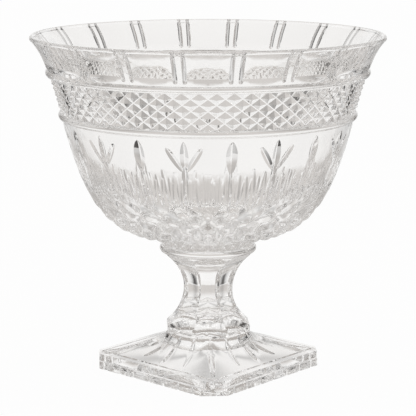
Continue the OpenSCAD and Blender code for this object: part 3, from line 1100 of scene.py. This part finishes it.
def glaze(piece, glass, film, seams):
    """Gives a piece its glass, and the film's clear finish to the faces in its glued seams."""
    piece.data.materials.append(glass)
    piece.data.materials.append(film)
    for face in piece.data.polygons:
        middle = face.center
        away = math.hypot(middle.x, middle.y)
        glued = any(abs(middle.z - z * MM) < WELD and away < r * MM for z, r in seams)
        face.material_index = 1 if glued else 0


FILM = seam_film()
bowl = make_piece("cut_bowl", *bowl_mesh(), "bowl", "bowl_crystal")
glaze(bowl, bowl_crystal(), FILM, [(BOWL_Z, BOWL_BOND_R)])
stem = make_piece("waisted_stem", *stem_mesh(), "stem", "stem_crystal")
glaze(stem, crystal("stem_glass"), FILM, [(STEM_Z, FOOT_BOND_R), (STEM_TOP, BOWL_BOND_R)])
foot = make_piece("square_foot", *foot_mesh(), "foot", "foot_crystal")
glaze(foot, crystal("foot_glass"), FILM, [(FOOT_TOP, FOOT_BOND_R)])
for node in ("bowl_bond", "foot_bond"):
    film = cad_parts[node]
    film.data.materials.clear()
    film.data.materials.append(FILM)

# Plain colours, and enough bounces for light to pass the cut glass
scene.view_settings.view_transform = "Standard"
scene.cycles.max_bounces = 32
scene.cycles.transmission_bounces = 32
scene.cycles.glossy_bounces = 16
scene.cycles.transparent_max_bounces = 24

# Floor: size, paint, share of white that the camera sees, and its glow in the glass by the way off,
# with a painted shadow round the object and a painted shade of the flags in strips
FLOOR_R = 20
FLOOR_GAP = 0.0001
FLOOR_COLOUR = (0.9, 0.9, 0.9, 1)
FLOOR_WHITE_SEEN = 0.97
# Tones of the floor's glow by the way off: the darker ring round the object is a painted shadow of
# it
FLOOR_GLOW_PAINTED_SHADE = (
    (0.0, 0.97), (0.11, 0.95),
    (0.17, 0.70), (0.22, 0.67), (0.45, 0.67), (0.60, 0.97),
)
# Darkening of the floor's glow in strips under the flags, a painted shade of them
FLOOR_PAINTED_FLAG_SHADE = 0.35

# Brightness of the studio by the sine of the height above the horizon, at the back and at the front
SKY = ((0.0, 1.0), (0.3, 1.0), (0.45, 0.8), (0.6, 0.5), (0.8, 0.4), (1.0, 0.8))
FRONT_SKY = ((0.0, 1.0), (0.25, 0.95), (0.4, 0.55), (0.6, 0.35), (0.8, 0.35), (1.0, 0.8))

# Share of the front's light: factor of the cosine off the front, and what is added
FRONT_SHARE = (1.5, 0.3)

# Share of green and of blue that a tone loses as it gets darker
WARMTH = (0.11, 0.20)

# Soft grey flags in a ring round the object, which only the glass shows, with a wide gap behind it
FLAGS = 5
FLAG_AWAY = 0.8
FLAG_H = 0.6
FLAG_FADE_FROM = 0.3
FLAG_TURNS = 160
FLAG_GAP_AT = 132
FLAG_WIDE_GAP = 12
FLAG_POWER = 2.0
FLAG_DENSITY = 1.0
FLAG_GREY = 0.02

# Camera: direction and downward pitch in radians, place, and lens and sensor in millimetres
CAMERA_AZIMUTH = math.radians(42)
CAMERA_PITCH = 0.1954
CAMERA_AWAY = 1.173
CAMERA_UP = 0.3475
CAMERA_LENS = 144.6
CAMERA_SENSOR = 36


def flag_share(tree):
    """How much of a flag stands in a direction: none in the gaps, all in the middle of a flag."""
    parts = place_parts(tree)
    turn = math_node(tree, "ARCTAN2", parts["Y"], parts["X"])
    turn = math_node(tree, "SUBTRACT", turn, math.radians(FLAG_GAP_AT))
    wave = math_node(tree, "COSINE", math_node(tree, "MULTIPLY", turn, FLAGS))
    soft = math_node(tree, "MULTIPLY_ADD", wave, -0.5, 0.5)
    flag = math_node(tree, "POWER", soft, FLAG_POWER)
    away = math_node(tree, "SUBTRACT", 1.0, math_node(tree, "COSINE", turn))
    wide = math_node(tree, "MULTIPLY", away, FLAG_WIDE_GAP / 2)
    return math_node(tree, "MULTIPLY", flag, math_node(tree, "MINIMUM", wide, 1.0))


def warm_grey(level):
    """Grey of a brightness, warmer the darker it is."""
    green, blue = (level * (1 - share * (1 - level)) for share in WARMTH)
    return level, green, blue, 1


def tone_ramp(tree, value, tones):
    """Warm grey tone looked up by a value between 0 and 1."""
    ramp = tree.nodes.new("ShaderNodeValToRGB")
    tree.links.new(value, ramp.inputs[0])
    while len(ramp.color_ramp.elements) < len(tones):
        ramp.color_ramp.elements.new(0.5)
    for element, (place, level) in zip(ramp.color_ramp.elements, tones):
        element.position = place
        element.color = warm_grey(level)
    return ramp.outputs[0]


def mix_shaders(tree, share, first, second):
    """A mix of two shaders."""
    mix = tree.nodes.new("ShaderNodeMixShader")
    tree.links.new(share, mix.inputs["Fac"])
    tree.links.new(first, mix.inputs[1])
    tree.links.new(second, mix.inputs[2])
    return mix.outputs[0]


def floor_glow_with_painted_shade(tree):
    """Glow of the floor in the glass by the way off, with a painted shadow in a ring round the
    object and a painted shade of the flags in strips.
    """
    place = tree.nodes.new("ShaderNodeNewGeometry")
    away = tree.nodes.new("ShaderNodeVectorMath")
    away.operation = "LENGTH"
    tree.links.new(place.outputs["Position"], away.inputs[0])
    painted_shade_glow = tree.nodes.new("ShaderNodeEmission")
    tree.links.new(tone_ramp(tree, away.outputs["Value"], FLOOR_GLOW_PAINTED_SHADE), painted_shade_glow.inputs["Color"])
    # Painted shade of the flags: darker strips that carry on the flags across the floor
    painted_flag_strips = math_node(tree, "MULTIPLY_ADD", flag_share(tree), -FLOOR_PAINTED_FLAG_SHADE, 1.0)
    tree.links.new(painted_flag_strips, painted_shade_glow.inputs["Strength"])
    return painted_shade_glow.outputs[0]


def floor_material():
    """Plain pale floor that keeps the shadow of the object, nearly white to the camera, and in the
    glass a glow with painted shadow and painted shade of the flags.
    """
    material, tree = new_material("floor_paint_and_painted_shade")
    paint = tree.nodes["Principled BSDF"]
    paint.inputs["Base Color"].default_value = FLOOR_COLOUR
    paint.inputs["Roughness"].default_value = 1.0
    ray = tree.nodes.new("ShaderNodeLightPath").outputs
    white = tree.nodes.new("ShaderNodeEmission")
    seen = math_node(tree, "MULTIPLY", ray["Is Camera Ray"], FLOOR_WHITE_SEEN)
    plain = mix_shaders(tree, seen, paint.outputs[0], white.outputs[0])
    glass = math_node(tree, "MAXIMUM", ray["Is Transmission Ray"], ray["Is Glossy Ray"])
    # Glass and reflections see the glow with its painted shadow and painted flag shade instead of
    # the lit floor
    floor_shader = mix_shaders(tree, glass, plain, floor_glow_with_painted_shade(tree))
    tree.links.new(floor_shader, tree.nodes["Material Output"].inputs["Surface"])
    return material


def studio_world():
    """White studio, darker high up and more so at the front, and plain white to the camera."""
    world = bpy.data.worlds.new("studio")
    world.use_nodes = True
    tree = world.node_tree
    nodes, links = tree.nodes, tree.links
    direction = nodes.new("ShaderNodeTexCoord").outputs["Generated"]
    parts = nodes.new("ShaderNodeSeparateXYZ")
    links.new(direction, parts.inputs[0])
    front = nodes.new("ShaderNodeVectorMath")
    front.operation = "DOT_PRODUCT"
    links.new(direction, front.inputs[0])
    turn = math.radians(FLAG_GAP_AT + 180)
    front.inputs[1].default_value = (math.cos(turn), math.sin(turn), 0)
    share = math_node(tree, "MULTIPLY_ADD", front.outputs["Value"], *FRONT_SHARE)
    share.node.use_clamp = True
    back_light = nodes["Background"]
    links.new(tone_ramp(tree, parts.outputs["Z"], SKY), back_light.inputs["Color"])
    front_light = nodes.new("ShaderNodeBackground")
    links.new(tone_ramp(tree, parts.outputs["Z"], FRONT_SKY), front_light.inputs["Color"])
    round_light = mix_shaders(tree, share, back_light.outputs[0], front_light.outputs[0])
    white = nodes.new("ShaderNodeBackground")
    white.inputs["Color"].default_value = (1, 1, 1, 1)
    seen = nodes.new("ShaderNodeLightPath").outputs["Is Camera Ray"]
    sky = mix_shaders(tree, seen, round_light, white.outputs[0])
    links.new(sky, nodes["World Output"].inputs["Surface"])
    return world


def flag_material():
    """Grey cloth that thins out towards the gaps between the flags and towards their top."""
    material, tree = new_material("flag_cloth")
    height = place_parts(tree)["Z"]
    fade = map_range(tree, height, (FLAG_FADE_FROM, FLAG_H), (FLAG_DENSITY, 0))
    fade.interpolation_type = "SMOOTHSTEP"
    cloth = tree.nodes.new("ShaderNodeEmission")
    cloth.inputs["Color"].default_value = warm_grey(FLAG_GREY)
    share = math_node(tree, "MULTIPLY", flag_share(tree), fade.outputs[0])
    clear = tree.nodes.new("ShaderNodeBsdfTransparent")
    flag = mix_shaders(tree, share, clear.outputs[0], cloth.outputs[0])
    tree.links.new(flag, tree.nodes["Material Output"].inputs["Surface"])
    return material


def stage_object(name, points, faces, material):
    """A mesh object of the stage."""
    mesh = bpy.data.meshes.new(name)
    mesh.from_pydata([tuple(p) for p in points], [], [tuple(f) for f in faces])
    mesh.materials.append(material)
    stage = bpy.data.objects.new(name, mesh)
    scene.collection.objects.link(stage)
    return stage


def make_flags():
    """The ring of flags, unseen by the camera and without a shadow."""
    edges = np.array([(FLAG_AWAY, 0), (FLAG_AWAY, FLAG_H)])
    ring = revolve(edges, FLAG_TURNS).reshape(-1, 3)
    flags = stage_object("flags", ring, ring_quads(2, FLAG_TURNS), flag_material())
    flags.visible_camera = False
    flags.visible_diffuse = False
    flags.visible_shadow = False


def make_floor():
    """The floor, just below the foot."""
    square = ((-1, -1), (1, -1), (1, 1), (-1, 1))
    corners = [(FLOOR_R * x, FLOOR_R * y, -FLOOR_GAP) for x, y in square]
    floor = stage_object("floor", corners, [(0, 1, 2, 3)], floor_material())


def make_camera():
    """The camera of the photograph."""
    data = bpy.data.cameras.new("camera")
    data.sensor_width = CAMERA_SENSOR
    data.lens = CAMERA_LENS
    camera = bpy.data.objects.new("camera", data)
    scene.collection.objects.link(camera)
    forward = Vector((-math.sin(CAMERA_AZIMUTH), math.cos(CAMERA_AZIMUTH), 0))
    camera.location = -forward * CAMERA_AWAY + Vector((0, 0, CAMERA_UP))
    look = forward * math.cos(CAMERA_PITCH) - Vector((0, 0, math.sin(CAMERA_PITCH)))
    camera.rotation_euler = look.to_track_quat("-Z", "Y").to_euler()
    scene.camera = camera


make_flags()
make_floor()
scene.world = studio_world()
make_camera()
